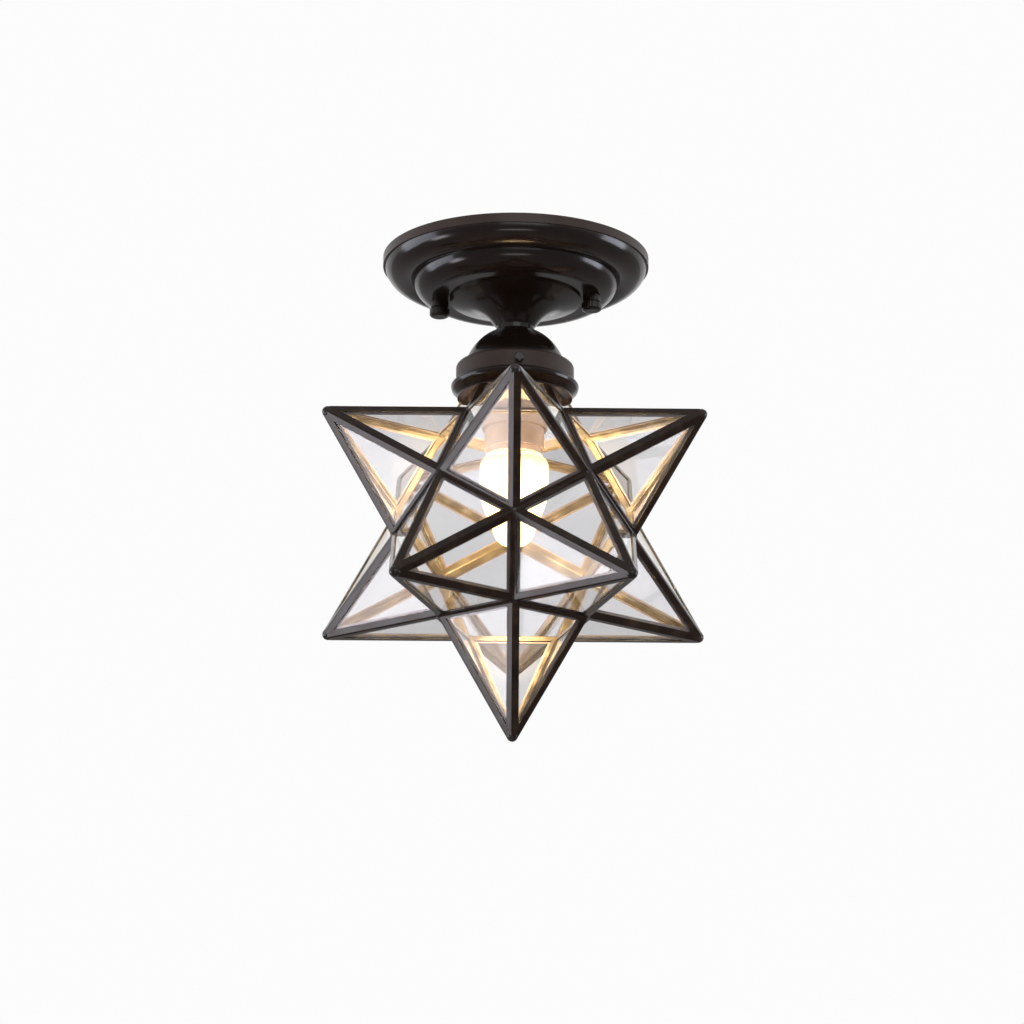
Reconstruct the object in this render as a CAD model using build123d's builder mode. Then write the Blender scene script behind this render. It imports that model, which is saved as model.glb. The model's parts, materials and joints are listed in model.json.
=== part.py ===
from build123d import *
from math import acos, cos, sin, sqrt
import os

# Semi-flush ceiling light: a stepped canopy on a swivelling crossbar, a flared bell, a neck ring, a
# domed socket cap and a shade fitter with three set screws, over a twelve-pointed star of glass panes
# in H-section cames. Millimetres. Z points up and the ceiling is Z = 0, so the light hangs below it.
# The star's front point faces -Y.

# Sheet and clearances
sheet = 1.0
seat_gap = 0.3
hole_gap = 0.2
thread_gap = 0.1

# Threaded nipple, one eighth pipe size
nipple_radius = 4.86
nipple_bore = 3.6
nipple_top = -13.0
nipple_end = -71.5

# Canopy
canopy_radius = 70.9
canopy_rim = 5.0
rim_step = 1.0
step_radius = 55.0
step_depth = 13.0
nut_seat = 3.1
canopy_depth = 22.8
outer_bulge = 4.2
inner_bulge = 2.6

# Crossbar
strap_turn = -8.0
strap_sheet = 1.6
box_strap_length = 96.0
strap_end_margin = 7.1
box_strap_width = 20.0
fixture_strap_width = 16.0
box_screw_spacing = 69.85
box_slot_width = 4.6
box_slot_length = 9.0
strap_drop = 3.1
joggle_start = 24.0
joggle_run = 3.0
strap_corner = 7.0
rivet_radius = 5.0
rivet_bore = 4.0
rivet_flange = 7.5
rivet_sheet = 0.8

# Studs, cap nuts and ground screw
nut_clearance = 0.6
stud_radius = 2.08
stud_head_radius = 4.0
stud_head = 2.3
stud_head_round = 0.8
stud_reach = 6.2
cap_nut_radius = 5.2
cap_nut_height = 8.5
cap_nut_round = 2.2
cap_nut_wall = 1.2
flute_count = 20
flute_radius = 0.45
flute_offset = 0.15
ground_screw_inset = 17.0
ground_screw_radius = 2.0
ground_head_across = 7.0
ground_head = 2.6
ground_washer_radius = 4.6
ground_washer = 0.6
ground_screw_point = 1.0

# Bell, neck ring and socket dome
bell_radius = 35.1
bell_rim = 1.2
bell_bottom = -39.0
bell_knee_radius = 17.3
bell_knee = -28.7
bell_flare = 25.0
waist_radius = 10.2
neck_height = 2.3
dome_ball_radius = 27.5
dome_depth = 19.2

# Shade fitter, for a two and a quarter inch collar
collar_radius = 28.575
fitter_play = 1.725
fitter_corner = 1.8
band_height = 10.4
lip_stand = 2.9
lip_corner_drop = 0.6
lip_belly_inset = 0.7
lip_belly_drop = 3.4
lip_round = 1.2
lip_belly_round = 3.0
lip_height = 6.9
mouth_play = 1.325
set_screw_radius = 2.0
set_screw_boss = 3.4
boss_depth = 0.8
set_screw_turn = -86.2
set_screw_drop = 6.2
set_screw_head_radius = 2.5
set_screw_head = 3.0
set_screw_head_round = 0.6
set_screw_stand = 1.0
driver_slot_width = 0.8
driver_slot_depth = 1.0

# Lock nuts and washer
nut_across = 14.3
nut_height = 3.6
washer_radius = 8.6
washer_sheet = 0.9
washer_teeth = 10
tooth_gap_radius = 0.8

# Socket
socket_cap_radius = 14.6
socket_cap_skirt = 5.0
socket_hub_radius = 7.0
socket_hub = 4.6
socket_radius = 15.4
socket_flange_radius = 17.1
socket_flange_top = -91.0
socket_flange = 5.5
socket_end = -111.0
socket_end_step = 1.0
socket_end_height = 3.5
socket_floor = 11.5
socket_flange_round = 1.0
shell_sheet = 0.4
shell_length = 22.5
tab_width = 6.0
tab_reach = 8.0
tab_bend = 4.5
tab_pad = 3.0
tab_sheet = 0.5
terminal_radius = 2.6
terminal_head = 2.0
terminal_depth = 3.0
terminal_shank = 1.7
terminal_shank_length = 3.5

# Bulb, medium screw base
base_radius = 13.0
base_sheet = 0.3
base_length = 19.6
base_rim = -108.0
base_insulator = 3.2
base_shoulder = 1.4
base_shoulder_radius = 9.4
base_tip_radius = 5.4
contact_radius = 4.4
contact_height = 1.4
contact_round = 0.8
glass_neck = 12.2
glass_neck_grip = 4.0
glass_shoulder = -111.9
shoulder_slope = 1.2
glass_radius = 17.6
glass_taper_start = -136.0
glass_end_radius = 8.6
glass_end = -160.0
glass_wall = 0.8
shoulder_round = 4.0
taper_round = 30.0
end_round = 8.0
neck_round = 1.0
stem_flare = 0.8
stem_flare_run = 2.4
stem_radius = 5.2
stem_tip_radius = 2.0
stem_length = 22.0
filament_count = 4
filament_ring_radius = 7.5
filament_radius = 0.9
filament_length = 31.0
filament_top = -115.0
wire_radius = 0.35
hub_wire_radius = 0.5
wire_root = 4.0

# Star shade
star_radius = 118.0
sides = 5
glass = 2.0
groove_gap = 0.05
came_sheet = 0.5
came_flank = 2.8
came_overrun = 5.0
mitre_gap = 0.04
came_web = 0.9
pane_inset = 1.2
spine_radius = 1.1
tip_cut = 2.0
tip_cap_radius = 3.2
tip_cap_height = 2.2
tip_cap_round = 1.6
collar_top = -62.6
collar_ledge = 1.925
collar_shelf_width = 5.075
collar_sheet = 0.9
cut_lap = 1.09

# Places that follow from the sizes above
stud_spacing = 2 * (bell_radius + nut_clearance + cap_nut_radius)
flat_radius = stud_spacing / 2 + nut_seat
strap_length = stud_spacing + 2 * strap_end_margin
ground_screw_place = strap_length / 2 - ground_screw_inset
box_strap_under = -strap_sheet
fixture_strap_top = box_strap_under - thread_gap
fixture_end_top = fixture_strap_top - strap_drop
fixture_end_under = fixture_end_top - strap_sheet
rivet_lower_flange = fixture_strap_top - strap_sheet - thread_gap
stud_end = -canopy_depth - stud_reach
neck_bottom = bell_bottom - neck_height
fitter_top = neck_bottom - dome_depth
dome_centre = neck_bottom - sqrt(dome_ball_radius**2 - waist_radius**2)
band_bottom = fitter_top - band_height
lip_bottom = band_bottom - lip_height
fitter_radius = collar_radius + fitter_play + sheet
lip_radius = fitter_radius + lip_stand
mouth_radius = collar_radius + mouth_play
nipple_hole = nipple_radius + hole_gap
collar_bottom = lip_bottom - seat_gap - collar_sheet
collar_flange = collar_radius + collar_ledge
collar_inner = collar_radius - collar_shelf_width
lower_nut_top = fitter_top - sheet
socket_cap_top = lower_nut_top - nut_height
socket_top = socket_cap_top - socket_hub
cavity_top = socket_top - socket_floor
body_shoulder = socket_top - socket_cap_skirt - seat_gap
cavity_radius = base_radius + seat_gap + shell_sheet + hole_gap
base_top = base_rim + base_length
contact_end = base_top + base_insulator + contact_height
terminal_height = (body_shoulder + cavity_top) / 2

# Star geometry: twelve tips on an icosahedron, bases on a dodecahedron
golden = (1 + sqrt(sides)) / 2
side_turn = 360 / sides
lean = acos(1 / sqrt(sides))
fold = acos(-1 / sqrt(sides)) / 2
core_height = star_radius / sqrt(sides)
point_height = star_radius - core_height
base_corner = point_height / golden
tip = Vector(0, 0, star_radius)
corners = [Vector(base_corner, 0, core_height).rotate(Axis.Z, side_turn * k) for k in range(sides)]

# The top point's corners come out past the collar where the collar cuts it
star_drop = star_radius - collar_bottom - (collar_radius + cut_lap) * golden

os.makedirs("parts", exist_ok=True)


def ball_width(ball_radius, height):
    """Radius of the dome's ball at a height."""
    return sqrt(ball_radius**2 - (height - dome_centre) ** 2)


dome_rim = ball_width(dome_ball_radius, fitter_top)


def save(builder, name):
    """Label a finished piece and write it."""
    builder.part.label = name
    export_step(builder.part, f"parts/{name}.step")


# Crossbar: a fixed box strap, and a fixture strap that swivels under it on a hollow rivet
with BuildPart() as box_strap:
    with BuildSketch(Plane.XY.offset(box_strap_under)):
        SlotOverall(box_strap_length, box_strap_width)
        with GridLocations(box_screw_spacing, 0, 2, 1):
            SlotOverall(box_slot_length, box_slot_width, mode=Mode.SUBTRACT)
    extrude(amount=strap_sheet)
    with Locations((0, 0, 0)):
        CounterBoreHole(rivet_radius, rivet_flange + hole_gap, rivet_sheet)
save(box_strap, "box_strap")

with BuildPart() as swivel_rivet:
    with BuildSketch(Plane.XZ):
        with BuildLine():
            Polyline(
                (rivet_bore, 0),
                (rivet_flange, 0),
                (rivet_flange, -rivet_sheet),
                (rivet_radius, -rivet_sheet),
                (rivet_radius, rivet_lower_flange),
                (rivet_flange, rivet_lower_flange),
                (rivet_flange, rivet_lower_flange - rivet_sheet),
                (rivet_bore, rivet_lower_flange - rivet_sheet),
                close=True,
            )
        make_face()
    revolve(axis=Axis.Z)
save(swivel_rivet, "swivel_rivet")

# The fixture strap's line is turned a little from X
strap_line = Vector(1, 0, 0).rotate(Axis.Z, strap_turn)
strap_side = Plane(origin=(0, 0, 0), x_dir=strap_line, z_dir=strap_line.cross(Vector(0, 0, 1)))


def strap_level(height):
    """Level plane with its x axis along the fixture strap."""
    return Plane(origin=(0, 0, height), x_dir=strap_line, z_dir=(0, 0, 1))


with BuildPart() as fixture_strap:
    with BuildSketch(strap_side):
        with BuildLine():
            strap_end = strap_length / 2
            joggle_end = joggle_start + joggle_run
            Polyline(
                (-strap_end, fixture_end_top),
                (-joggle_end, fixture_end_top),
                (-joggle_start, fixture_strap_top),
                (joggle_start, fixture_strap_top),
                (joggle_end, fixture_end_top),
                (strap_end, fixture_end_top),
            )
            offset(amount=strap_sheet, side=Side.RIGHT, closed=True)
        make_face()
    extrude(amount=fixture_strap_width / 2, both=True)
    fillet(fixture_strap.edges().filter_by(Axis.Z), radius=strap_corner)
    with BuildSketch(strap_level(0)):
        Circle(rivet_radius + hole_gap)
        with GridLocations(stud_spacing, 0, 2, 1):
            Circle(stud_radius + thread_gap)
        with Locations((ground_screw_place, 0)):
            Circle(ground_screw_radius + thread_gap)
    extrude(amount=fixture_end_under, mode=Mode.SUBTRACT)
save(fixture_strap, "fixture_strap")

with BuildPart() as canopy_studs:
    with BuildSketch(strap_level(fixture_end_top)):
        with GridLocations(stud_spacing, 0, 2, 1):
            Circle(stud_head_radius)
    extrude(amount=stud_head)
    fillet(canopy_studs.edges().group_by(Axis.Z)[-1], radius=stud_head_round)
    with BuildSketch(strap_level(stud_end)):
        with GridLocations(stud_spacing, 0, 2, 1):
            Circle(stud_radius)
    extrude(amount=fixture_end_top - stud_end)
save(canopy_studs, "canopy_studs")

with BuildPart() as ground_screw:
    with BuildSketch(strap_level(fixture_end_under)):
        with Locations((ground_screw_place, 0)):
            Circle(ground_washer_radius)
    extrude(amount=-ground_washer)
    with BuildSketch(strap_level(fixture_end_under - ground_washer)):
        with Locations((ground_screw_place, 0)):
            RegularPolygon(ground_head_across / 2, 6, major_radius=False)
    extrude(amount=-ground_head)
    with BuildSketch(strap_level(fixture_end_under)):
        with Locations((ground_screw_place, 0)):
            Circle(ground_screw_radius)
    extrude(amount=strap_sheet + ground_screw_point)
save(ground_screw, "ground_screw")

# Canopy: rim band, two bulges and a flat bottom, spun from one sheet
with BuildPart() as canopy:
    with BuildSketch(Plane.XZ):
        with BuildLine():
            bulge_radius = canopy_radius - rim_step
            Line((canopy_radius, 0), (canopy_radius, -canopy_rim))
            Line((canopy_radius, -canopy_rim), (bulge_radius, -canopy_rim))
            SagittaArc((bulge_radius, -canopy_rim), (step_radius, -step_depth), outer_bulge)
            SagittaArc((step_radius, -step_depth), (flat_radius, -canopy_depth), inner_bulge)
            Line((flat_radius, -canopy_depth), (nipple_hole, -canopy_depth))
            offset(amount=sheet, side=Side.RIGHT, closed=True)
        make_face()
    revolve(axis=Axis.Z)
    with BuildSketch(strap_level(-canopy_depth)):
        with GridLocations(stud_spacing, 0, 2, 1):
            Circle(stud_radius + hole_gap)
    extrude(amount=sheet, mode=Mode.SUBTRACT)
save(canopy, "canopy")

# Cap nuts: fluted, with a rounded, closed end
for name, side in (("cap_nut_left", -1), ("cap_nut_right", 1)):
    nut_level = strap_level(-canopy_depth)
    nut_level.origin = nut_level.origin + strap_line * (side * stud_spacing / 2)
    with BuildPart() as cap_nut:
        with BuildSketch(nut_level):
            Circle(cap_nut_radius)
        extrude(amount=-cap_nut_height)
        fillet(cap_nut.edges().group_by(Axis.Z)[0], radius=cap_nut_round)
        with BuildSketch(nut_level):
            with PolarLocations(cap_nut_radius + flute_offset, flute_count):
                Circle(flute_radius)
        extrude(amount=-cap_nut_height + cap_nut_round, mode=Mode.SUBTRACT)
        with BuildSketch(nut_level):
            Circle(stud_radius + thread_gap)
        extrude(amount=-cap_nut_height + cap_nut_wall, mode=Mode.SUBTRACT)
    save(cap_nut, name)

# Flared bell, neck ring and socket dome, clamped in a stack by the nipple
with BuildPart() as bell:
    with BuildSketch(Plane.XZ):
        with BuildLine():
            bell_edge = -canopy_depth - bell_rim
            Line((bell_radius, -canopy_depth), (bell_radius, bell_edge))
            FilletPolyline(
                (bell_radius, bell_edge),
                (bell_knee_radius, bell_knee),
                (waist_radius, bell_bottom),
                radius=bell_flare,
            )
            Line((waist_radius, bell_bottom), (nipple_hole, bell_bottom))
            offset(amount=sheet, side=Side.RIGHT, closed=True)
        make_face()
    revolve(axis=Axis.Z)
save(bell, "bell")

with BuildPart() as neck_ring:
    with BuildSketch(Plane.XY.offset(bell_bottom)):
        Circle(waist_radius)
        Circle(nipple_hole, mode=Mode.SUBTRACT)
    extrude(amount=-neck_height)
save(neck_ring, "neck_ring")

with BuildPart() as socket_dome:
    with BuildSketch(Plane.XZ):
        with BuildLine():
            dome_under = neck_bottom - sheet
            inner_ball = dome_ball_radius - sheet
            inner_top = ball_width(inner_ball, dome_under)
            inner_rim = ball_width(inner_ball, fitter_top)
            Polyline((nipple_hole, dome_under), (nipple_hole, neck_bottom), (waist_radius, neck_bottom))
            RadiusArc((waist_radius, neck_bottom), (dome_rim, fitter_top), dome_ball_radius)
            Line((dome_rim, fitter_top), (inner_rim, fitter_top))
            RadiusArc((inner_rim, fitter_top), (inner_top, dome_under), -inner_ball)
            Line((inner_top, dome_under), (nipple_hole, dome_under))
        make_face()
    revolve(axis=Axis.Z)
save(socket_dome, "socket_dome")

# Shade fitter: a flat top, the band that the set screws pass through, and a lip rolled out and in
screw_height = fitter_top - set_screw_drop
screw_turns = [set_screw_turn + 120 * k for k in range(3)]


def screw_plane(turn, radius):
    """Upright plane that faces outward at a set screw."""
    outward = Vector(1, 0, 0).rotate(Axis.Z, turn)
    return Plane(origin=outward * radius + Vector(0, 0, screw_height), x_dir=(0, 0, 1), z_dir=outward)


with BuildPart() as shade_fitter:
    with BuildSketch(Plane.XZ):
        with BuildLine():
            FilletPolyline(
                (nipple_hole, fitter_top),
                (fitter_radius, fitter_top),
                (fitter_radius, band_bottom),
                (lip_radius, band_bottom - lip_corner_drop),
                (lip_radius - lip_belly_inset, band_bottom - lip_belly_drop),
                (mouth_radius, lip_bottom),
                radius=[fitter_corner, lip_round, lip_round, lip_belly_round],
            )
            offset(amount=sheet, side=Side.RIGHT, closed=True)
        make_face()
    revolve(axis=Axis.Z)
    for turn in screw_turns:
        with BuildSketch(screw_plane(turn, fitter_radius - sheet - boss_depth)):
            Circle(set_screw_boss)
        extrude(until=Until.NEXT)
    for turn in screw_turns:
        with BuildSketch(screw_plane(turn, collar_radius)):
            Circle(set_screw_radius + thread_gap)
        extrude(amount=fitter_radius, mode=Mode.SUBTRACT)
save(shade_fitter, "shade_fitter")

# Set screws: slotted heads, with their points a seat gap from the collar
for name, turn in zip(("set_screw_front", "set_screw_right", "set_screw_left"), screw_turns):
    with BuildPart() as set_screw:
        with BuildSketch(screw_plane(turn, collar_radius + seat_gap)):
            Circle(set_screw_radius)
        extrude(amount=fitter_radius + set_screw_stand - collar_radius - seat_gap)
        with BuildSketch(screw_plane(turn, fitter_radius + set_screw_stand)):
            Circle(set_screw_head_radius)
        extrude(amount=set_screw_head)
        fillet(
            set_screw.faces().sort_by(Axis((0, 0, 0), screw_plane(turn, 0).z_dir))[-1].edges(),
            radius=set_screw_head_round,
        )
        with BuildSketch(screw_plane(turn, fitter_radius + set_screw_stand + set_screw_head)):
            Rectangle(3 * set_screw_head_radius, driver_slot_width)
        extrude(amount=-driver_slot_depth, mode=Mode.SUBTRACT)
    save(set_screw, name)

# Threaded nipple, its lock nuts and the toothed washer
with BuildPart() as threaded_nipple:
    with BuildSketch(Plane.XY.offset(nipple_end)):
        Circle(nipple_radius)
        Circle(nipple_bore, mode=Mode.SUBTRACT)
    extrude(amount=nipple_top - nipple_end)
save(threaded_nipple, "threaded_nipple")

canopy_floor = -canopy_depth + sheet
with BuildPart() as lock_washer:
    with BuildSketch(Plane.XY.offset(canopy_floor)):
        Circle(washer_radius)
        Circle(nipple_radius + hole_gap, mode=Mode.SUBTRACT)
        with PolarLocations(washer_radius, washer_teeth):
            Circle(tooth_gap_radius, mode=Mode.SUBTRACT)
    extrude(amount=washer_sheet)
save(lock_washer, "lock_washer")

for name, level in (("upper_lock_nut", canopy_floor + washer_sheet), ("lower_lock_nut", socket_cap_top)):
    with BuildPart() as lock_nut:
        with BuildSketch(Plane.XY.offset(level)):
            RegularPolygon(nut_across / 2, 6, major_radius=False)
            Circle(nipple_radius + thread_gap, mode=Mode.SUBTRACT)
        extrude(amount=nut_height)
    save(lock_nut, name)

# Lamp socket: metal cap on the nipple, ceramic body, screw shell, centre contact and terminals
with BuildPart() as socket_cap:
    with BuildSketch(Plane.XZ):
        with BuildLine():
            cap_bore = nipple_radius + thread_gap
            cap_inside = socket_cap_radius - sheet
            Polyline(
                (cap_bore, socket_cap_top - seat_gap),
                (socket_hub_radius, socket_cap_top - seat_gap),
                (socket_hub_radius, socket_top + sheet),
                (socket_cap_radius, socket_top + sheet),
                (socket_cap_radius, socket_top - socket_cap_skirt),
                (cap_inside, socket_top - socket_cap_skirt),
                (cap_inside, socket_top),
                (cap_bore, socket_top),
                close=True,
            )
        make_face()
    revolve(axis=Axis.Z)
save(socket_cap, "socket_cap")

body_top = socket_top - seat_gap
flange_end = socket_flange_top - socket_flange
with BuildPart() as socket_body:
    with BuildSketch(Plane.XZ):
        with BuildLine():
            body_neck = socket_cap_radius - sheet - hole_gap
            end_radius = socket_radius - socket_end_step
            FilletPolyline(
                (0, body_top),
                (body_neck, body_top),
                (body_neck, body_shoulder),
                (socket_radius, body_shoulder),
                (socket_radius, socket_flange_top),
                (socket_flange_radius, socket_flange_top),
                (socket_flange_radius, flange_end),
                (socket_radius, flange_end),
                (socket_radius, socket_end + socket_end_height),
                (end_radius, socket_end + socket_end_height),
                (end_radius, socket_end),
                (cavity_radius, socket_end),
                (cavity_radius, cavity_top),
                (0, cavity_top),
                radius=[0, 0, 0, 0, socket_flange_round, socket_flange_round, 0, 0, 0, 0, 0, 0],
            )
            Line((0, cavity_top), (0, body_top))
        make_face()
    revolve(axis=Axis.Z)
    with BuildSketch(Plane.XY.offset(body_top)):
        Circle(nipple_radius + hole_gap)
    extrude(amount=nipple_end - seat_gap - body_top, mode=Mode.SUBTRACT)
    for side in (-1, 1):
        with BuildSketch(Plane.XZ.offset(side * socket_radius)):
            with Locations((0, terminal_height)):
                Rectangle(2 * terminal_radius + 2 * seat_gap, 2 * terminal_radius + 2 * seat_gap)
        extrude(amount=-side * terminal_depth, mode=Mode.SUBTRACT)
        with BuildSketch(Plane.XZ.offset(side * (socket_radius - terminal_depth))):
            with Locations((0, terminal_height)):
                Circle(terminal_shank + thread_gap)
        extrude(amount=-side * (terminal_shank_length + seat_gap), mode=Mode.SUBTRACT)
save(socket_body, "socket_body")

with BuildPart() as socket_terminal_screws:
    for side in (-1, 1):
        with BuildSketch(Plane.XZ.offset(side * (socket_radius - terminal_depth))):
            with Locations((0, terminal_height)):
                Circle(terminal_radius)
        extrude(amount=side * terminal_head)
        with BuildSketch(Plane.XZ.offset(side * (socket_radius - terminal_depth + terminal_head))):
            with Locations((0, terminal_height)):
                Rectangle(3 * terminal_radius, driver_slot_width)
        extrude(amount=-side * driver_slot_depth, mode=Mode.SUBTRACT)
        with BuildSketch(Plane.XZ.offset(side * (socket_radius - terminal_depth))):
            with Locations((0, terminal_height)):
                Circle(terminal_shank)
        extrude(amount=-side * terminal_shank_length)
save(socket_terminal_screws, "socket_terminal_screws")

with BuildPart() as socket_screw_shell:
    with BuildSketch(Plane.XY.offset(cavity_top - seat_gap)):
        Circle(cavity_radius - hole_gap)
        Circle(cavity_radius - hole_gap - shell_sheet, mode=Mode.SUBTRACT)
    extrude(amount=-shell_length)
save(socket_screw_shell, "socket_screw_shell")

with BuildPart() as socket_centre_contact:
    with BuildSketch(Plane.XZ):
        with BuildLine():
            pad_top = contact_end + seat_gap + tab_sheet
            Polyline(
                (-tab_reach, cavity_top),
                (-tab_bend, cavity_top),
                (-tab_pad, pad_top),
                (tab_pad, pad_top),
            )
            offset(amount=tab_sheet, side=Side.RIGHT, closed=True)
        make_face()
    extrude(amount=tab_width / 2, both=True)
save(socket_centre_contact, "socket_centre_contact")

# Bulb with a medium screw base
with BuildPart() as bulb_screw_base:
    with BuildSketch(Plane.XZ):
        with BuildLine():
            Polyline(
                (base_radius, base_rim),
                (base_radius, base_top),
                (base_shoulder_radius, base_top + base_shoulder),
            )
            offset(amount=base_sheet, side=Side.LEFT, closed=True)
        make_face()
    revolve(axis=Axis.Z)
save(bulb_screw_base, "bulb_screw_base")

insulator_top = base_top + base_insulator
with BuildPart() as bulb_base_insulator:
    with BuildSketch(Plane.XZ):
        with BuildLine():
            insulator_low = base_top + base_shoulder + seat_gap
            Polyline(
                (0, insulator_low),
                (base_shoulder_radius, insulator_low),
                (base_tip_radius, insulator_top),
                (0, insulator_top),
                close=True,
            )
        make_face()
    revolve(axis=Axis.Z)
save(bulb_base_insulator, "bulb_base_insulator")

with BuildPart() as bulb_centre_contact:
    with BuildSketch(Plane.XY.offset(insulator_top)):
        Circle(contact_radius)
    extrude(amount=contact_height)
    fillet(bulb_centre_contact.edges().group_by(Axis.Z)[-1], radius=contact_round)
save(bulb_centre_contact, "bulb_centre_contact")

glass_top = base_rim + glass_neck_grip
with BuildPart() as bulb_glass:
    with BuildSketch(Plane.XZ):
        with BuildLine():
            FilletPolyline(
                (glass_neck, glass_top),
                (glass_neck, glass_shoulder),
                (glass_radius, glass_shoulder - shoulder_slope),
                (glass_radius, glass_taper_start),
                (glass_end_radius, glass_end),
                (0, glass_end),
                radius=[neck_round, shoulder_round, taper_round, end_round],
            )
            offset(amount=glass_wall, side=Side.RIGHT, closed=True)
        make_face()
    revolve(axis=Axis.Z)
save(bulb_glass, "bulb_glass")

stem_end = glass_top - stem_length
with BuildPart() as bulb_stem:
    with BuildSketch(Plane.XZ):
        with BuildLine():
            flare_radius = glass_neck - glass_wall - seat_gap
            Polyline(
                (0, glass_top),
                (flare_radius, glass_top),
                (flare_radius, glass_top - stem_flare),
                (stem_radius, glass_top - stem_flare - stem_flare_run),
                (stem_tip_radius, stem_end),
                (0, stem_end),
                close=True,
            )
        make_face()
    revolve(axis=Axis.Z)
save(bulb_stem, "bulb_stem")

filament_end = filament_top - filament_length
with BuildPart() as bulb_filaments:
    with BuildSketch(Plane.XY.offset(filament_top)):
        with PolarLocations(filament_ring_radius, filament_count):
            Circle(filament_radius)
    extrude(amount=-filament_length)
save(bulb_filaments, "bulb_filaments")

hub = Vector(0, 0, filament_end - wire_radius)
upper_level = Vector(0, 0, filament_top + wire_radius)
wire_runs = [(Vector(0, 0, stem_end), hub, hub_wire_radius)]
for k in range(filament_count):
    spoke = Vector(1, 0, 0).rotate(Axis.Z, 360 / filament_count * k)
    wire_runs.append((hub, hub + spoke * filament_ring_radius, wire_radius))
    wire_runs.append((upper_level + spoke * wire_root, upper_level + spoke * filament_ring_radius, wire_radius))
with BuildPart() as bulb_support_wires:
    for start, end, radius in wire_runs:
        with BuildSketch(Plane(origin=start, z_dir=end - start)):
            Circle(radius)
        extrude(amount=(end - start).length)
save(bulb_support_wires, "bulb_support_wires")

# Star shade. One ridge came, one valley came and one pane are made at the point whose axis is +Z from
# the star's centre, and copied to the twelve points. Came sections are given by distances along a pane
# from the edge line and across it from its middle.
half_glass = glass / 2
groove = half_glass + groove_gap
lip = groove + came_sheet


def mitre(corner, along, beside):
    """Plane that halves a pane's corner between two edges, facing the came along the first one."""
    first = (along - corner).normalized()
    second = (beside - corner).normalized()
    facing = (first - second).normalized()
    return Plane(origin=corner + facing * (mitre_gap / 2), x_dir=first + second, z_dir=facing)


def came(start, end, outward, roof, cuts):
    """H-section came along an edge, bent up as a roof (1) or down as a gutter (-1), and cut to its mitres."""
    along = (end - start).normalized()
    flank = [
        (came_flank, lip),
        (came_flank, groove),
        (came_web, groove),
        (came_web, -groove),
        (came_flank, -groove),
        (came_flank, -lip),
    ]
    right = [(s * sin(fold) + t * cos(fold), roof * (t * sin(fold) - s * cos(fold))) for s, t in flank]
    left = [(-x, y) for x, y in reversed(right)]
    apex = roof * lip / sin(fold)
    with BuildPart() as blank:
        with BuildSketch(Plane(origin=(start + end) / 2, x_dir=outward.cross(along), z_dir=along)) as section:
            with BuildLine():
                Polyline((0, apex), *right, (0, -apex), *left, close=True)
            make_face()
            fillet(section.vertices().filter_by(lambda v: abs(v.X) < groove_gap), radius=spine_radius)
        extrude(amount=(end - start).length / 2 + came_overrun, both=True)
        for cut in cuts:
            split(bisect_by=cut, keep=Keep.TOP)
    return blank.part


def mirrored(place, a, b):
    """A place mirrored in the plane through the star's centre and corners a and b."""
    across = a.cross(b).normalized()
    return place - across * (2 * place.dot(across))


neighbour_tips = [mirrored(tip, corners[0], corners[1]), mirrored(tip, corners[0], corners[-1])]
ridge_rise = Vector(point_height, 0, base_corner).normalized()
ridge_came = came(
    corners[0],
    tip,
    ridge_rise,
    1,
    [
        mitre(corners[0], tip, corners[1]),
        mitre(corners[0], tip, corners[-1]),
        mitre(corners[0], tip, neighbour_tips[0]),
        mitre(corners[0], tip, neighbour_tips[1]),
        mitre(tip, corners[0], corners[1]),
        mitre(tip, corners[0], corners[-1]),
        Plane(origin=tip - Vector(0, 0, tip_cut), z_dir=(0, 0, -1)),
    ],
)

far_corners = [mirrored(corners[1], corners[-1], corners[0]), mirrored(corners[0], corners[2], corners[1])]
valley_came = came(
    corners[0],
    corners[1],
    (corners[0] + corners[1]).normalized(),
    -1,
    [
        mitre(corners[0], corners[1], tip),
        mitre(corners[0], corners[1], neighbour_tips[0]),
        mitre(corners[1], corners[0], tip),
        mitre(corners[1], corners[0], neighbour_tips[0]),
        mitre(corners[0], corners[1], corners[-1]),
        mitre(corners[0], corners[1], far_corners[0]),
        mitre(corners[1], corners[0], corners[2]),
        mitre(corners[1], corners[0], far_corners[1]),
    ],
)

base_edge = corners[1] - corners[0]
base_middle = (corners[0] + corners[1]) / 2
slope_height = (tip - base_middle).length
with BuildPart() as pane_blank:
    with BuildSketch(Plane(origin=base_middle, x_dir=base_edge, z_dir=base_edge.cross(tip - base_middle))):
        with BuildLine():
            Polyline((-base_edge.length / 2, 0), (base_edge.length / 2, 0), (0, slope_height), close=True)
        make_face()
        offset(amount=-pane_inset, kind=Kind.INTERSECTION)
    extrude(amount=half_glass, both=True)
pane = pane_blank.part

with BuildPart() as cap_blank:
    with BuildSketch(Plane.XY.offset(star_radius - tip_cut)):
        Circle(tip_cap_radius)
    extrude(amount=tip_cap_height)
    fillet(cap_blank.edges().group_by(Axis.Z)[-1], radius=tip_cap_round)
tip_cap = cap_blank.part

centre = Vector(0, 0, -star_drop)


def point_frame(turn, tilt):
    """Frame of one point: z along its axis, x toward the base corner farthest from the star's top."""
    outward = Vector(sin(tilt), 0, cos(tilt)).rotate(Axis.Z, turn)
    down = Vector(cos(tilt), 0, -sin(tilt)).rotate(Axis.Z, turn)
    return Plane(origin=centre, x_dir=down, z_dir=outward)


def opposite(frame):
    """Frame of the point on the other side of the star."""
    return Plane(origin=centre, x_dir=-frame.x_dir, z_dir=-frame.z_dir)


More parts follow.
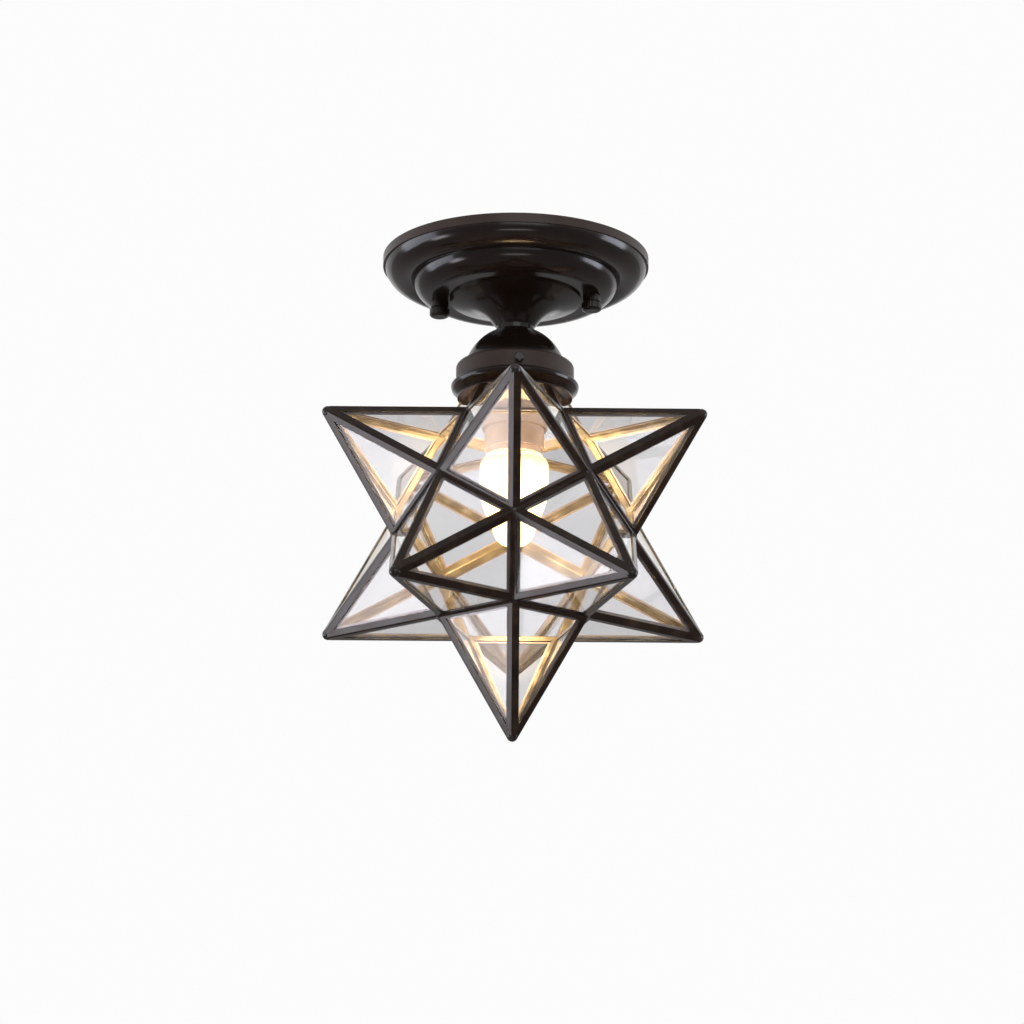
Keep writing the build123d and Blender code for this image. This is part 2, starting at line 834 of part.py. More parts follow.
top_frame = point_frame(90, 0)
upper_frames = [point_frame(side_turn * k - 90, lean) for k in range(sides)]
lower_frames = [opposite(upper_frames[k - 2]) for k in range(sides)]
bottom_frame = opposite(top_frame)
points = {"top_point": top_frame, "bottom_point": bottom_frame}
points.update({f"upper_point_{k + 1}": frame for k, frame in enumerate(upper_frames)})
points.update({f"lower_point_{k + 1}": frame for k, frame in enumerate(lower_frames)})

# The top point is cut off under the collar
collar_cut = Plane(origin=(0, 0, collar_bottom), z_dir=(0, 0, -1))
for name, frame in points.items():
    with BuildPart(frame) as point_cames:
        with PolarLocations(0, sides):
            add(ridge_came)
        if frame is top_frame:
            split(bisect_by=collar_cut, keep=Keep.TOP)
    save(point_cames, f"{name}_cames")
    with BuildPart(frame) as point_glass:
        with PolarLocations(0, sides):
            add(pane)
        if frame is top_frame:
            split(bisect_by=collar_cut.offset(seat_gap), keep=Keep.TOP)
    save(point_glass, f"{name}_glass")

# Valley cames: a point's base edges are numbered from its x axis
base_edges = range(sides)
valley_places = {
    "valley_cames_upper": [(top_frame, k) for k in base_edges] + [(frame, 1) for frame in upper_frames],
    "valley_cames_waist": [(frame, k) for frame in upper_frames for k in (0, -1)],
    "valley_cames_lower": [(bottom_frame, k) for k in base_edges] + [(frame, 1) for frame in lower_frames],
}
for name, places in valley_places.items():
    with BuildPart() as valley_cames:
        with Locations([frame.location * Rotation(0, 0, side_turn * k) for frame, k in places]):
            add(valley_came)
    save(valley_cames, name)

with BuildPart() as tip_caps:
    with Locations([frame.location for frame in points.values() if frame is not top_frame]):
        add(tip_cap)
save(tip_caps, "tip_caps")

# Collar that closes the cut top point and stands in the fitter
with BuildPart() as shade_collar:
    with BuildSketch(Plane.XZ):
        with BuildLine():
            collar_shelf = collar_bottom + collar_sheet
            Polyline(
                (collar_inner, collar_bottom),
                (collar_flange, collar_bottom),
                (collar_flange, collar_shelf),
                (collar_radius, collar_shelf),
                (collar_radius, collar_top),
                (collar_radius - collar_sheet, collar_top),
                (collar_radius - collar_sheet, collar_shelf),
                (collar_inner, collar_shelf),
                close=True,
            )
        make_face()
    revolve(axis=Axis.Z)
save(shade_collar, "shade_collar")
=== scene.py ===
import json
from math import acos, cos, pi, radians, sin, tan

import bpy
from mathutils import Matrix, Vector


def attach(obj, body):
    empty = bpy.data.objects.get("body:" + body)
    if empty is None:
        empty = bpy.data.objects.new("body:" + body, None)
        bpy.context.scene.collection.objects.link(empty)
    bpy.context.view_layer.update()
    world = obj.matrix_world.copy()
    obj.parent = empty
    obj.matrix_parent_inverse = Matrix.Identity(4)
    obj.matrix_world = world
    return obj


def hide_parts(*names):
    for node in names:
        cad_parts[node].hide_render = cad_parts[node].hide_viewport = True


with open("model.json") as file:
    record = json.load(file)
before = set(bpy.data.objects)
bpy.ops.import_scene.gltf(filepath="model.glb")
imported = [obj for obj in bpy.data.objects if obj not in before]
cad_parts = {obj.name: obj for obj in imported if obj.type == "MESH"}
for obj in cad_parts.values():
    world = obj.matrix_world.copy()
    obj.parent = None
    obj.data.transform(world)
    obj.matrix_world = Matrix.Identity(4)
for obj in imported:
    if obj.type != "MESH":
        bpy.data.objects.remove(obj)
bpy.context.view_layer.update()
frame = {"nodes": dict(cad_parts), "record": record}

scene = bpy.context.scene
nodes = frame["nodes"]
MM = 0.001
STAR_CENTRE = Vector((0, 0, -0.149))

# Sockets of a colour Mix node
MIX_FACTOR, MIX_FROM, MIX_TO, MIX_RESULT = 0, 6, 7, 2


# Material helpers

def new_material(name):
    material = bpy.data.materials.new(name)
    material.use_nodes = True
    tree = material.node_tree
    tree.nodes.clear()
    output = tree.nodes.new("ShaderNodeOutputMaterial")
    return material, tree, output


def node(tree, kind, **values):
    """A new node, with each value set on its socket of that name, or else on the node itself."""
    item = tree.nodes.new(kind)
    for key, value in values.items():
        if key in item.inputs:
            item.inputs[key].default_value = value
        else:
            setattr(item, key, value)
    return item


def link(tree, source, out_socket, target, in_socket):
    tree.links.new(source.outputs[out_socket], target.inputs[in_socket])


def noise(tree, scale, detail=4.0, roughness=0.55):
    where = node(tree, "ShaderNodeTexCoord")
    texture = node(tree, "ShaderNodeTexNoise", Scale=scale, Detail=detail, Roughness=roughness)
    link(tree, where, "Object", texture, "Vector")
    return texture


def slow_waves(tree, scale):
    return noise(tree, scale, detail=2.0, roughness=0.4)


def ramp(tree, source, socket, stops):
    item = node(tree, "ShaderNodeValToRGB")
    elements = item.color_ramp.elements
    elements[0].position, elements[0].color = stops[0][0], (*stops[0][1], 1)
    elements[1].position, elements[1].color = stops[-1][0], (*stops[-1][1], 1)
    for place, colour in stops[1:-1]:
        element = elements.new(place)
        element.color = (*colour, 1)
    link(tree, source, socket, item, "Fac")
    return item


def grey_ramp(tree, source, socket, stops):
    return ramp(tree, source, socket, [(place, (level,) * 3) for place, level in stops])


def map_range(tree, source, socket, start, end, low=0.0, high=1.0):
    """Low where the source is at start, high where it is at end, and even between."""
    item = node(tree, "ShaderNodeMapRange", clamp=True)
    item.inputs["From Min"].default_value = start
    item.inputs["From Max"].default_value = end
    item.inputs["To Min"].default_value = low
    item.inputs["To Max"].default_value = high
    link(tree, source, socket, item, "Value")
    return item


def span(tree, clouds, low, high):
    """Low to high over the middle of a noise, where nearly all of it lies."""
    return map_range(tree, clouds, "Fac", 0.3, 0.7, low, high)


def height_range(tree, start, end):
    """Nought to one between two heights."""
    where = node(tree, "ShaderNodeTexCoord")
    split = node(tree, "ShaderNodeSeparateXYZ")
    link(tree, where, "Object", split, "Vector")
    return map_range(tree, split, "Z", start, end)


def bump(tree, source, socket, strength, distance):
    item = node(tree, "ShaderNodeBump", Strength=strength, Distance=distance)
    link(tree, source, socket, item, "Height")
    return item


def shader_of(material):
    return next(item for item in material.node_tree.nodes if item.type == "BSDF_PRINCIPLED")


def surface(
    name, colours, rough, metallic=0.0, scale=60.0, bump_by=(0.1, 0.0002), coat=None, fine=None, **sockets
):
    """Mottled surface: colours and roughness follow one noise, and a finer one gives the bump."""
    material, tree, output = new_material(name)
    shader = node(tree, "ShaderNodeBsdfPrincipled", Metallic=metallic, **sockets)
    if coat:
        shader.inputs["Coat Weight"].default_value = coat[0]
        shader.inputs["Coat Roughness"].default_value = coat[1]
    clouds = noise(tree, scale)
    link(tree, ramp(tree, clouds, "Fac", colours), "Color", shader, "Base Color")
    link(tree, span(tree, clouds, *rough), "Result", shader, "Roughness")
    grain = noise(tree, fine or scale * 12)
    link(tree, bump(tree, grain, "Fac", *bump_by), "Normal", shader, "Normal")
    link(tree, shader, "BSDF", output, "Surface")
    return material


def darker_below(material, high, low, colour):
    """The finish turns dark and glossy below a height: on the fitter's lip the dark colour is painted shade,
    and on the canopy it leaves only the rim brown.
    """
    tree = material.node_tree
    shader = shader_of(material)
    depth = height_range(tree, high, low)
    gloss = (0.17,) * 3
    for name, target in (("Base Color", colour), ("Roughness", gloss)):
        source = shader.inputs[name].links[0].from_socket
        blend = node(tree, "ShaderNodeMix", data_type="RGBA")
        link(tree, depth, "Result", blend, MIX_FACTOR)
        tree.links.new(source, blend.inputs[MIX_FROM])
        blend.inputs[MIX_TO].default_value = (*target, 1)
        link(tree, blend, MIX_RESULT, shader, name)


def inward(tree, centre, flat=False):
    """One where a face looks toward the centre, or with flat toward the axis, nought where it looks out."""
    where = node(tree, "ShaderNodeTexCoord")
    away = node(tree, "ShaderNodeVectorMath", operation="MULTIPLY_ADD")
    away.inputs[1].default_value = (1, 1, 0) if flat else (1, 1, 1)
    away.inputs[2].default_value = (0, 0, 0) if flat else -centre
    link(tree, where, "Object", away, 0)
    unit = node(tree, "ShaderNodeVectorMath", operation="NORMALIZE")
    link(tree, away, "Vector", unit, 0)
    facing = node(tree, "ShaderNodeVectorMath", operation="DOT_PRODUCT")
    link(tree, unit, "Vector", facing, 0)
    link(tree, where, "Normal", facing, 1)
    start, end = (-0.3, -0.7) if flat else (0.05, -0.15)
    return map_range(tree, facing, "Value", start, end)


def came_metal(name, outer, inner, flat=False, inner_metallic=0.4):
    """Dark patina outside; the faces inside the star get a lighter, coppery, more metallic colour: painted
    light from the bulb, and in the collar's bore also bare brass.
    """
    material, tree, output = new_material(name)
    shader = node(tree, "ShaderNodeBsdfPrincipled")
    clouds = noise(tree, 120.0)
    skin = ramp(tree, clouds, "Fac", outer)
    painted_light_tone = ramp(tree, clouds, "Fac", inner)
    side = inward(tree, STAR_CENTRE, flat)
    blend = node(tree, "ShaderNodeMix", data_type="RGBA")
    link(tree, side, "Result", blend, MIX_FACTOR)
    link(tree, skin, "Color", blend, MIX_FROM)
    link(tree, painted_light_tone, "Color", blend, MIX_TO)
    link(tree, blend, MIX_RESULT, shader, "Base Color")
    metal = node(tree, "ShaderNodeMath", operation="MULTIPLY")
    metal.inputs[1].default_value = inner_metallic
    link(tree, side, "Result", metal, 0)
    link(tree, metal, "Value", shader, "Metallic")
    link(tree, span(tree, clouds, 0.12, 0.24), "Result", shader, "Roughness")
    shader.inputs["Specular IOR Level"].default_value = 0.18
    grain = noise(tree, 420.0)
    link(tree, bump(tree, grain, "Fac", 0.1, 0.0003), "Normal", shader, "Normal")
    link(tree, shader, "BSDF", output, "Surface")
    return material


def filter_lamps(tree, shader, output, tint):
    """Lamps shine through the glass as through a plain filter."""
    clear = node(tree, "ShaderNodeBsdfTransparent", Color=(*tint, 1))
    path = node(tree, "ShaderNodeLightPath")
    mix = node(tree, "ShaderNodeMixShader")
    link(tree, path, "Is Shadow Ray", mix, "Fac")
    link(tree, shader, "BSDF", mix, 1)
    link(tree, clear, "BSDF", mix, 2)
    link(tree, mix, "Shader", output, "Surface")


def glass(name, tint, tint_low, ripple, scale, mirror=1.0):
    """Clear glass with a slow ripple. Mirror scales how much its faces reflect."""
    material, tree, output = new_material(name)
    shader = node(tree, "ShaderNodeBsdfPrincipled", Roughness=0.0, IOR=1.5)
    shader.inputs["Specular Tint"].default_value = (mirror, mirror, mirror, 1)
    shader.inputs["Transmission Weight"].default_value = 1.0
    waves = slow_waves(tree, scale)
    colour = ramp(tree, waves, "Fac", [(0.3, tint_low), (0.7, tint)])
    link(tree, colour, "Color", shader, "Base Color")
    link(tree, bump(tree, waves, "Fac", *ripple), "Normal", shader, "Normal")
    filter_lamps(tree, shader, output, tint)
    return material


def lit_glass(name, colour, strength):
    """Bulb glass with the haze of its own light in it, strongest beside the filaments."""
    material, tree, output = new_material(name)
    shader = node(tree, "ShaderNodeBsdfPrincipled", IOR=1.5)
    shader.inputs["Transmission Weight"].default_value = 1.0
    waves = slow_waves(tree, 40.0)
    tint = ramp(tree, waves, "Fac", [(0.3, (0.95, 0.87, 0.70)), (0.7, (0.98, 0.91, 0.77))])
    link(tree, tint, "Color", shader, "Base Color")
    height = height_range(tree, BULB_BOTTOM, BULB_NECK)
    haze = grey_ramp(tree, height, "Result", [(0.0, 0.4), (0.3, 0.56), (0.7, 0.52), (0.95, 0.12)])
    link(tree, haze, "Color", shader, "Roughness")
    glow_by = grey_ramp(tree, height, "Result", [(0.0, 0.5), (0.35, 0.9), (0.75, 1.0), (1.0, 0.6)])
    power = node(tree, "ShaderNodeMath", operation="MULTIPLY")
    power.inputs[1].default_value = strength
    link(tree, glow_by, "Color", power, 0)
    shader.inputs["Emission Color"].default_value = (*colour, 1)
    link(tree, power, "Value", shader, "Emission Strength")
    filter_lamps(tree, shader, output, (0.97, 0.96, 0.94))
    return material


def glow(name, colour, strength):
    """A surface that shines, with a slight mottle."""
    material, tree, output = new_material(name)
    shader = node(tree, "ShaderNodeBsdfPrincipled", Roughness=0.5)
    grain = noise(tree, 300.0)
    tone = ramp(tree, grain, "Fac", [(0.3, tuple(0.9 * c for c in colour)), (0.7, colour)])
    link(tree, tone, "Color", shader, "Base Color")
    link(tree, tone, "Color", shader, "Emission Color")
    shader.inputs["Emission Strength"].default_value = strength
    link(tree, shader, "BSDF", output, "Surface")
    return material


def threaded(name, colours, rough, pitch, depth):
    """Metal with rings of bump at a thread's pitch."""
    material = surface(name, colours, rough, metallic=1.0, scale=140.0)
    tree = material.node_tree
    where = node(tree, "ShaderNodeTexCoord")
    wave_scale = 2 * pi / 20 / pitch
    wave = node(tree, "ShaderNodeTexWave", bands_direction="Z", Scale=wave_scale, Distortion=0.0)
    link(tree, where, "Object", wave, "Vector")
    rings = bump(tree, wave, "Fac", 0.9, depth)
    grain = shader_of(material).inputs["Normal"].links[0].from_node
    link(tree, rings, "Normal", grain, "Normal")
    return material


# Heights, in metres, where a finish changes: the brown rim of the canopy, and where painted shade starts on
# the fitter's lip
FITTER_LIP = (-0.0700, -0.0722)
CANOPY_RIM = (-0.0045, -0.0054)
BULB_BOTTOM, BULB_NECK = -0.160, -0.108

# Tones that several finishes share, as (place in the noise, colour)
ZINC = [(0.3, (0.42, 0.41, 0.38)), (0.52, (0.55, 0.53, 0.48)), (0.72, (0.63, 0.57, 0.45))]
NICKEL = [(0.3, (0.58, 0.56, 0.52)), (0.7, (0.72, 0.7, 0.66))]
BRASS = [(0.3, (0.62, 0.42, 0.16)), (0.6, (0.78, 0.56, 0.24)), (0.75, (0.7, 0.46, 0.2))]

bronze = surface(
    "glossy_dark_bronze",
    [(0.3, (0.0065, 0.0038, 0.0028)), (0.55, (0.0095, 0.0055, 0.004)), (0.75, (0.015, 0.009, 0.0065))],
    (0.13, 0.2), scale=38.0, bump_by=(0.03, 0.0002), fine=900.0, **{"Specular IOR Level": 0.24},
)
fitter_bronze = surface(
    "satin_dark_bronze",
    [(0.3, (0.024, 0.015, 0.012)), (0.55, (0.033, 0.021, 0.017)), (0.75, (0.043, 0.028, 0.023))],
    (0.36, 0.5), scale=42.0, bump_by=(0.12, 0.0002), fine=1100.0, **{"Specular IOR Level": 0.2},
)
# Painted shade: the fitter's lip below the band is darkened for the shade under the fitter
darker_below(fitter_bronze, *FITTER_LIP, (0.008, 0.0045, 0.003))
canopy_bronze = surface(
    "dark_bronze_with_brown_rim",
    [(0.3, (0.024, 0.014, 0.011)), (0.55, (0.034, 0.021, 0.017)), (0.75, (0.046, 0.029, 0.024))],
    (0.3, 0.42), scale=42.0, bump_by=(0.03, 0.0002), fine=900.0, **{"Specular IOR Level": 0.24},
)
darker_below(canopy_bronze, *CANOPY_RIM, (0.0095, 0.0055, 0.0042))
solder = surface(
    "patina_over_solder",
    [(0.3, (0.006, 0.004, 0.0032)), (0.5, (0.012, 0.008, 0.0065)), (0.72, (0.036, 0.028, 0.025))],
    (0.14, 0.28), scale=240.0, bump_by=(0.2, 0.0004), fine=520.0, **{"Specular IOR Level": 0.24},
)
bare_solder = surface(
    "bare_solder",
    [(0.3, (0.30, 0.29, 0.30)), (0.55, (0.48, 0.47, 0.48)), (0.75, (0.66, 0.65, 0.66))],
    (0.16, 0.34), metallic=1.0, scale=300.0, bump_by=(0.35, 0.0004), fine=700.0,
)
# Painted light: the pale grey tone of the strips that stand in for the lit came flanks
flank_strip_finish = surface(
    "painted_flank_light",
    [(0.3, (0.15, 0.13, 0.13)), (0.55, (0.19, 0.17, 0.17)), (0.75, (0.25, 0.225, 0.225))],
    (0.3, 0.4), metallic=0.25, scale=30.0, bump_by=(0.03, 0.0002), fine=500.0, **{"Specular IOR Level": 0.3},
)
zinc = surface(
    "zinc_plated_steel", ZINC,
    (0.25, 0.42), metallic=1.0, scale=90.0, bump_by=(0.08, 0.0002), fine=800.0,
)
green_steel = surface(
    "green_plated_steel",
    [(0.3, (0.02, 0.14, 0.05)), (0.6, (0.03, 0.2, 0.07)), (0.75, (0.05, 0.26, 0.1))],
    (0.25, 0.38), metallic=0.6, scale=200.0, fine=1500.0,
)
aluminium = surface(
    "satin_aluminium",
    [(0.3, (0.6, 0.6, 0.61)), (0.7, (0.74, 0.74, 0.75))],
    (0.28, 0.42), metallic=1.0, scale=140.0, fine=1200.0,
)
porcelain = surface(
    "glazed_porcelain",
    [(0.3, (0.57, 0.45, 0.36)), (0.55, (0.63, 0.52, 0.43)), (0.75, (0.69, 0.59, 0.5))],
    (0.14, 0.24), scale=70.0, bump_by=(0.05, 0.0003), coat=(0.6, 0.06), fine=260.0,
)
brass = surface("stamped_brass", BRASS, (0.22, 0.36), metallic=1.0, scale=150.0, fine=1400.0)
nickel = surface("nickel_plate", NICKEL, (0.18, 0.3), metallic=1.0, scale=160.0, fine=1300.0)
black_glass = surface(
    "black_vitrite",
    [(0.3, (0.008, 0.008, 0.01)), (0.7, (0.02, 0.02, 0.024))],
    (0.12, 0.25), scale=300.0, fine=1800.0, coat=(0.5, 0.08),
)
# Painted light: the came faces toward the bulb are coloured lighter for the bulb's light on them
came_patina_and_painted_light = came_metal(
    "dark_patina_came_painted_light_inside",
    [(0.28, (0.009, 0.0042, 0.0024)), (0.5, (0.0165, 0.0082, 0.0047)), (0.72, (0.033, 0.0178, 0.0108))],
    [(0.28, (0.07, 0.058, 0.041)), (0.5, (0.125, 0.108, 0.076)), (0.72, (0.23, 0.205, 0.15))],
)
# The collar's bore is bare brass, made brighter still with painted light from the bulb
collar_patina_and_painted_light = came_metal(
    "dark_collar_painted_light_bore",
    [(0.28, (0.004, 0.0025, 0.0018)), (0.5, (0.008, 0.005, 0.0035)), (0.72, (0.018, 0.011, 0.008))],
    [(0.28, (0.62, 0.52, 0.34)), (0.5, (0.72, 0.62, 0.42)), (0.72, (0.8, 0.7, 0.5))],
    flat=True, inner_metallic=0.3,
)
pane_glass = glass(
    "clear_pane_glass", (0.845, 0.841, 0.848), (0.795, 0.791, 0.799), (0.06, 0.001), 28.0, mirror=0.22
)
stem_glass = glass("stem_glass", (0.97, 0.96, 0.94), (0.94, 0.93, 0.91), (0.05, 0.001), 40.0)
bulb_lit = lit_glass("lit_bulb_glass", (1.0, 0.70, 0.30), 0.045)
filament = glow("lit_filament", (1.0, 0.80, 0.5), 7.0)

slot_finish = {
    "bronze_finish": bronze,
    "zinc_steel": zinc,
    "green_steel": green_steel,
    "socket_aluminium": aluminium,
    "porcelain": porcelain,
    "socket_brass": brass,
    "bulb_glass": stem_glass,
    "bulb_metal": nickel,
    "black_insulator": black_glass,
    "filament_coating": filament,
    "came_metal": came_patina_and_painted_light,
    "solder": solder,
    "pane_glass": pane_glass,
}
own_finish = {
    "shade_fitter": fitter_bronze,
    "canopy": canopy_bronze,
    "bulb_glass": bulb_lit,
    "shade_collar": collar_patina_and_painted_light,
    "threaded_nipple": threaded("threaded_zinc", ZINC, (0.25, 0.4), 0.00094, 0.0005),
    "canopy_studs": threaded("fine_threaded_zinc", ZINC, (0.25, 0.4), 0.0008, 0.0004),
    "bulb_screw_base": threaded("rolled_nickel_thread", NICKEL, (0.18, 0.3), 0.00363, 0.0012),
    "socket_screw_shell": threaded("rolled_brass_thread", BRASS, (0.2, 0.34), 0.00363, 0.0012),
}
slots = {entry["node"]: entry["material_slot"] for entry in frame["record"]["subparts"]}
for name, piece in nodes.items():
    piece.data.materials.clear()
    piece.data.materials.append(own_finish.get(name, slot_finish[slots[name]]))


# Pieces that only the eye needs. All sizes are in millimetres until a mesh is made.

STAR_MM = STAR_CENTRE / MM
STAR_RADIUS = 118.0
CORE_HEIGHT = STAR_RADIUS / 5 ** 0.5
GOLDEN = (1 + 5 ** 0.5) / 2
BASE_CORNER = (STAR_RADIUS - CORE_HEIGHT) / GOLDEN
COLLAR_BOTTOM = -79.6


def turned(vector, degrees_round):
    return Matrix.Rotation(radians(degrees_round), 3, "Z") @ vector


def point_frames():
    """Axis and cross direction of each of the twelve points, the top one first."""
    lean = acos(1 / 5 ** 0.5)
    uppers = []
    for k in range(5):
        outward = turned(Vector((sin(lean), 0, cos(lean))), 72 * k - 90)
        down = turned(Vector((cos(lean), 0, -sin(lean))), 72 * k - 90)
        uppers.append((outward, down))
    lowers = [(-outward, -down) for outward, down in uppers]
    top = (Vector((0, 0, 1)), Vector((0, 1, 0)))
    bottom = (Vector((0, 0, -1)), Vector((0, -1, 0)))
    return [top, *uppers, *lowers, bottom]


FRAMES = point_frames()


def in_star(point_frame, along_x, along_y, along_z):
    outward, cross = point_frame
    return STAR_MM + cross * along_x + outward.cross(cross) * along_y + outward * along_z


def base_corner(point_frame, k):
    """One of the five corners where a point meets its neighbours."""
    swing = 2 * pi * k / 5
    return in_star(point_frame, BASE_CORNER * cos(swing), BASE_CORNER * sin(swing), CORE_HEIGHT)


def new_piece(name, points, faces, finish, body, smooth=True):
    mesh = bpy.data.meshes.new(name)
    mesh.from_pydata([tuple(point * MM) for point in points], [], faces)
    mesh.update()
    if smooth:
        mesh.polygons.foreach_set("use_smooth", [True] * len(mesh.polygons))
    mesh.materials.append(finish)
    piece = bpy.data.objects.new(name, mesh)
    scene.collection.objects.link(piece)
    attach(piece, body)
    return piece


def lathe(points, faces, base, axis, profile, around=24, ripple=0.0):
    """Add a turned form to a mesh: profile gives (distance along the axis, radius)."""
    side = axis.orthogonal().normalized()
    other = axis.cross(side)
    first = len(points)
    for along, radius in profile:
        for k in range(around):
            swing = 2 * pi * k / around
            r = radius * (1 - ripple * (k % 2))
            points.append(base + axis * along + (side * cos(swing) + other * sin(swing)) * r)
    rows = len(profile)
    for row in range(rows - 1):
        for k in range(around):
            a = first + row * around + k
            b = first + row * around + (k + 1) % around
            faces.append((a, b, b + around, a + around))
    faces.append(tuple(first + k for k in reversed(range(around))))
    faces.append(tuple(first + (rows - 1) * around + k for k in range(around)))


# Solder: a smooth blob over each whole point's tip
TIP_PROFILE = [
    (111.5, 2.9), (113.0, 3.3), (114.5, 3.35), (115.7, 3.1), (116.7, 2.6),
    (117.4, 2.05), (117.9, 1.3), (118.15, 0.6), (118.2, 0.2),
]
points, faces = [], []
for outward, cross in FRAMES[1:]:
    lathe(points, faces, STAR_MM, outward, TIP_PROFILE)
tips = new_piece("tip_solder", points, faces, solder, "star_shade")
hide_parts("tip_caps")

# A bead where the cames meet between the points
BEAD_PROFILE = [(-1.0, 2.0), (0.2, 2.9), (1.0, 2.75), (1.6, 2.2), (2.0, 1.4), (2.15, 0.4)]
rounded = {
    tuple(round(c, 2) for c in base_corner(point_frame, k)) for point_frame in FRAMES for k in range(5)
}
junctions = []
for place in sorted(rounded):
    if all((Vector(place) - Vector(other)).length > 1 for other in junctions):
        junctions.append(place)
points, faces = [], []
for place in junctions:
    away = (Vector(place) - STAR_MM).normalized()
    lathe(points, faces, Vector(place), away, BEAD_PROFILE, around=20)
new_piece("joint_solder", points, faces, solder, "star_shade")

# Bare solder where the cut top point's ridges meet the collar
DROP_PROFILE = [(-1.6, 0.5), (-1.2, 1.3), (-0.4, 1.9), (0.5, 2.1), (1.1, 1.9)]
DROP_RING, DROP_HEIGHT = 29.4, -80.2
points, faces = [], []
for k in range(5):
    swing = radians(90 + 72 * k)
    seat = Vector((DROP_RING * cos(swing), DROP_RING * sin(swing), DROP_HEIGHT))
    lathe(points, faces, seat, Vector((0, 0, 1)), DROP_PROFILE, around=16)
new_piece("collar_solder", points, faces, bare_solder, "star_shade")

# Painted light: a pale strip on the glass beside each came, standing in for the lit flank of the came seen
# through the glass
STRIP_DEPTH = 1.025
STRIP_NEAR, STRIP_FAR = 1.6, 4.05


def flank_light_strip(start, end, third, normal):
    """The strip beside one edge of a pane, with its ends mitred to the strips of the other two."""
    along = (end - start).normalized()
    across = (third - start) - along * (third - start).dot(along)
    across.normalize()
    half_start = along.angle(third - start) / 2
    half_end = (-along).angle(third - end) / 2
    corners = [
        start + along * (STRIP_NEAR / tan(half_start)) + across * STRIP_NEAR,
        end - along * (STRIP_NEAR / tan(half_end)) + across * STRIP_NEAR,
        end - along * (STRIP_FAR / tan(half_end)) + across * STRIP_FAR,
        start + along * (STRIP_FAR / tan(half_start)) + across * STRIP_FAR,
    ]
    return [corner - normal * STRIP_DEPTH for corner in corners]


def below(corners, top):
    """What is left of a flat outline below a height."""
    kept = []
    for one, two in zip(corners, corners[1:] + corners[:1]):
        if one.z <= top:
            kept.append(one)
        if (one.z - top) * (two.z - top) < 0:
            kept.append(one + (two - one) * ((top - one.z) / (two.z - one.z)))
    return kept


points, faces = [], []
for index, point_frame in enumerate(FRAMES):
    for k in range(5):
        peak = in_star(point_frame, 0, 0, STAR_RADIUS)
        pane = [base_corner(point_frame, k), base_corner(point_frame, k + 1), peak]
        normal = (pane[1] - pane[0]).cross(pane[2] - pane[0]).normalized()
        if normal.dot(sum(pane, Vector()) / 3 - STAR_MM) < 0:
            normal = -normal
        for edge in range(3):
            strip = flank_light_strip(*(pane[(edge + j) % 3] for j in range(3)), normal)
            if index == 0:
                strip = below(strip, COLLAR_BOTTOM)
            if strip:
                first = len(points)
                points += strip
                faces.append(tuple(range(first, first + len(strip))))
new_piece("painted_flank_light_strips", points, faces, flank_strip_finish, "star_shade", smooth=False)

# Cap nuts with a neck under the canopy and a knurled barrel
NUT_PROFILE = [
    (0.0, 4.7), (3.2, 4.7), (3.5, 4.3), (3.7, 4.3), (3.9, 5.0),
    (4.3, 5.3), (7.3, 5.3), (8.0, 4.8), (8.4, 3.9), (8.5, 2.9),
]
NUT_RING, NUT_HEIGHT, NUT_SWING = 40.9, -22.8, radians(-8.0)
for name, side in (("left", -1), ("right", 1)):
    ring = side * NUT_RING
    seat = Vector((ring * cos(NUT_SWING), ring * sin(NUT_SWING), NUT_HEIGHT))
    points, faces = [], []
    lathe(points, faces, seat, Vector((0, 0, -1)), NUT_PROFILE, around=60, ripple=0.022)
    body = f"{name}_cap_nut"
    nut = new_piece(f"knurled_nut_{name}", points, faces, bronze, body, smooth=False)
    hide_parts(f"cap_nut_{name}")


# Camera at the photograph's angle

DISTANCE = 3.025
ELEVATION = radians(17.45)
PITCH, YAW, ROLL = radians(17.58), radians(-0.02), radians(0.45)
place = STAR_CENTRE + Vector((0, -DISTANCE * cos(ELEVATION), -DISTANCE * sin(ELEVATION)))
ahead = Vector((sin(YAW) * cos(PITCH), cos(YAW) * cos(PITCH), sin(PITCH)))
level = Vector((cos(YAW), -sin(YAW), 0))
upright = level.cross(ahead)
right = cos(ROLL) * level + sin(ROLL) * upright
up = cos(ROLL) * upright - sin(ROLL) * level
camera_data = bpy.data.cameras.new("camera")
camera_data.sensor_width = 36
camera_data.lens = 201.9
camera_data.clip_end = 60
camera = bpy.data.objects.new("camera", camera_data)
camera.matrix_world = Matrix.Translation(place) @ Matrix((right, up, -ahead)).transposed().to_4x4()
scene.collection.objects.link(camera)
scene.camera = camera


# Light, floor and background

def area(name, where, aim, size, power, colour=(1, 1, 1)):
    data = bpy.data.lights.new(name, "AREA")
    data.shape = "RECTANGLE"
    data.size, data.size_y = size
    data.energy = power
    data.color = colour
    lamp = bpy.data.objects.new(name, data)
    lamp.location = where
    lamp.rotation_euler = (Vector(aim) - Vector(where)).to_track_quat("-Z", "Y").to_euler()
    scene.collection.objects.link(lamp)


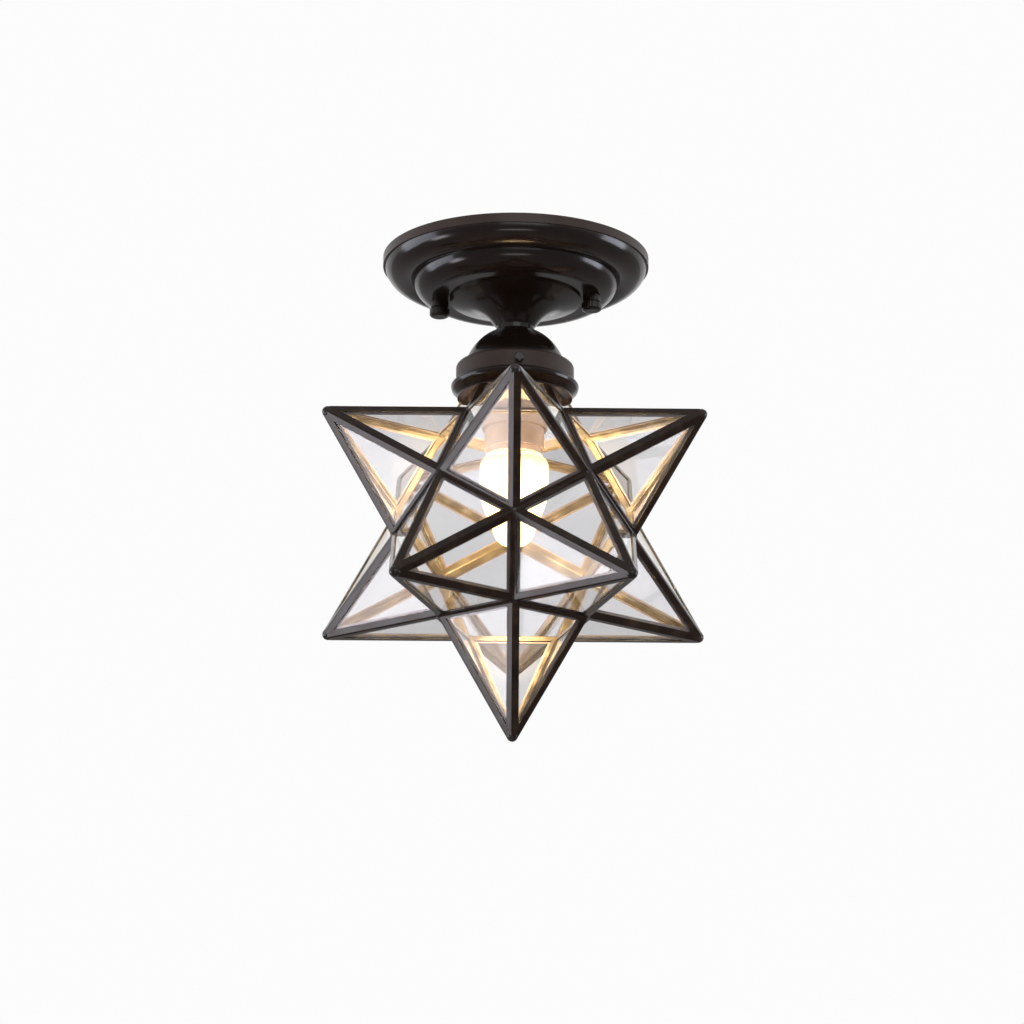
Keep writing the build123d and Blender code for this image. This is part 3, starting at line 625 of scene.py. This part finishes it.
middle = (0, 0, -0.12)
area("side_left", (-2.0, 0.1, -0.3), middle, (1.5, 1.0), 26, (0.82, 0.87, 1.0))
area("side_right", (2.0, 0.1, -0.2), middle, (1.0, 0.7), 20, (0.84, 0.88, 1.0))
area("front_fill", (0.3, -2.2, 0.2), middle, (1.6, 1.2), 14)
area("low_front", (0.0, -1.7, -1.35), middle, (0.9, 0.16), 3)
area("low_left", (-2.09, -0.6, -1.16), STAR_CENTRE, (0.6, 0.5), 10, (0.96, 0.93, 1.0))

# The bulb's light comes from the middle of its filaments
bulb_data = bpy.data.lights.new("bulb_light", "POINT")
bulb_data.shadow_soft_size = 0.012
bulb_data.energy = 1.85
bulb_data.color = (1.0, 0.71, 0.39)
bulb_light = bpy.data.objects.new("bulb_light", bulb_data)
bulb_light.location = (0, 0, -0.131)
bulb_light.visible_camera = False
bulb_light.visible_transmission = False
scene.collection.objects.link(bulb_light)

# The world looks white to the eye, in reflections and through glass, and lights the rest softly
world = bpy.data.worlds.new("world")
scene.world = world
world.use_nodes = True
tree = world.node_tree
tree.nodes.clear()
output = node(tree, "ShaderNodeOutputWorld")
soft = node(tree, "ShaderNodeBackground", Color=(1, 1, 1, 1), Strength=0.35)
white = node(tree, "ShaderNodeBackground", Color=(0.975, 0.975, 0.975, 1), Strength=1.0)
path = node(tree, "ShaderNodeLightPath")
either = node(tree, "ShaderNodeMath", operation="MAXIMUM")
seen = node(tree, "ShaderNodeMath", operation="MAXIMUM")
mix = node(tree, "ShaderNodeMixShader")
link(tree, path, "Is Camera Ray", either, 0)
link(tree, path, "Is Glossy Ray", either, 1)
link(tree, either, "Value", seen, 0)
link(tree, path, "Is Transmission Ray", seen, 1)
link(tree, seen, "Value", mix, "Fac")
link(tree, soft, "Background", mix, 1)
link(tree, white, "Background", mix, 2)
link(tree, mix, "Shader", output, "Surface")

FLOOR_HEIGHT, FLOOR_HALF = -3.4, 30.0
FLOOR_TONES = [(0.3, (0.86, 0.86, 0.86)), (0.7, (0.9, 0.9, 0.9))]
mesh = bpy.data.meshes.new("floor")
corners = [(x * FLOOR_HALF, y * FLOOR_HALF, FLOOR_HEIGHT) for x, y in ((-1, -1), (1, -1), (1, 1), (-1, 1))]
mesh.from_pydata(corners, [], [(0, 1, 2, 3)])
floor = bpy.data.objects.new("floor", mesh)
scene.collection.objects.link(floor)
floor.data.materials.append(surface("pale_floor", FLOOR_TONES, (0.6, 0.7), scale=3.0))

scene.view_settings.view_transform = "Standard"
